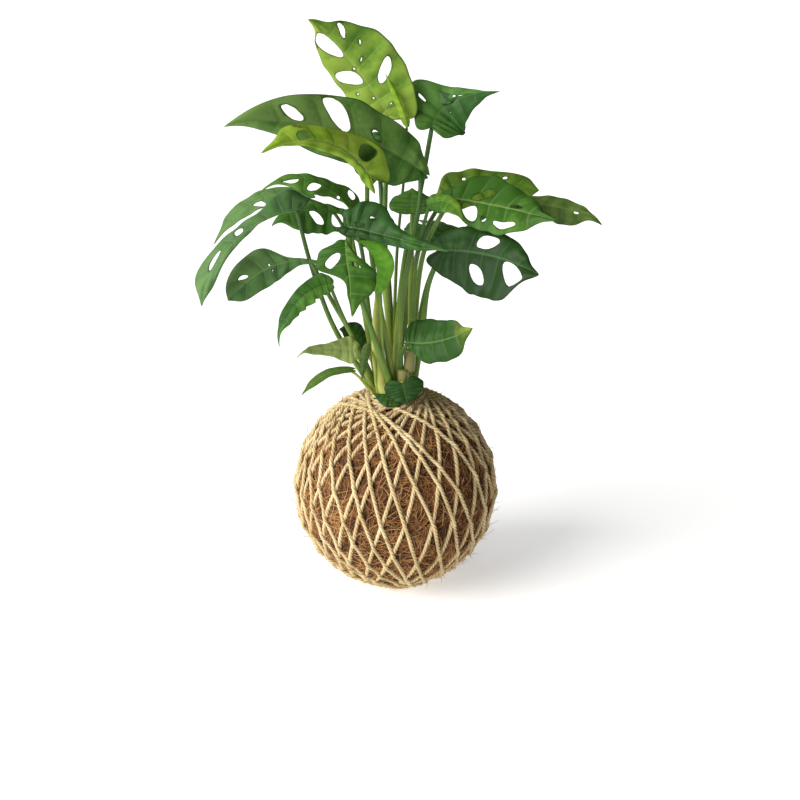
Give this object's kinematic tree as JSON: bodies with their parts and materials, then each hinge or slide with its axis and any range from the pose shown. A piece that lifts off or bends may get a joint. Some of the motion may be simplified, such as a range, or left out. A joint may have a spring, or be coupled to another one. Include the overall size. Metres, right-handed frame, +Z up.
{
  "type": "kokedama house plant",
  "caption": "Coconut-fibre ball bound with crossing twine, standing on a small flat spot, with a leafy plant of holed glossy leaves on slender stalks growing from its top.",
  "frame": {"origin": "centre of the small flat spot the ball rests on", "axes": "+Z up along the plant, -Y towards the front, +X to the right seen from the front"},
  "size_m": [0.263, 0.1685, 0.3901],
  "materials": {
    "soil": "dark crumbly potting soil, fully matt",
    "coir": "matted brown coconut fibre, rough and matt",
    "jute_twine": "straw-coloured twisted jute, matt with fine fuzz",
    "stem": "smooth yellow-green stalks, softly glossy",
    "leaf_pale": "young yellow-green leaf, satin",
    "leaf_fresh": "fresh bright green leaf, satin",
    "leaf_mid": "green leaf, glossy",
    "leaf_deep": "dark green leaf, glossy",
    "leaf_olive": "olive green leaf, satin"
  },
  "bodies": {
    "root": {"soil_core": "soil", "coir_cover": "coir", "twine_wrap": "jute_twine", "stem_left": "stem", "stem_front": "stem", "stem_right": "stem", "stem_back": "stem", "leaf_top": "leaf_fresh", "leaf_upper_left": "leaf_deep", "leaf_upper_young": "leaf_pale", "leaf_upper_right": "leaf_deep", "leaf_right_back": "leaf_olive", "leaf_right_front": "leaf_fresh", "leaf_far_right": "leaf_olive", "leaf_right_large": "leaf_deep", "leaf_centre_front": "leaf_deep", "leaf_left_arched": "leaf_mid", "leaf_left_bright": "leaf_fresh", "leaf_far_left": "leaf_mid", "leaf_left_middle": "leaf_deep", "leaf_left_lower": "leaf_deep", "leaf_left_torn": "leaf_mid", "leaf_centre_left": "leaf_fresh", "leaf_bright_band": "leaf_pale", "leaf_low_right": "leaf_mid", "leaf_low_left": "leaf_pale", "leaf_lowest_left": "leaf_pale", "leaf_small_dark": "leaf_deep", "leaf_round": "leaf_deep", "leaf_on_ball": "leaf_deep", "leaf_small_centre": "leaf_mid", "leaf_folded": "leaf_pale", "leaf_back_high": "leaf_mid", "leaf_back_left": "leaf_deep", "leaf_back_right": "leaf_mid", "leaf_spear": "leaf_pale", "leaf_dried": "leaf_olive"}
  },
  "joints": []
}
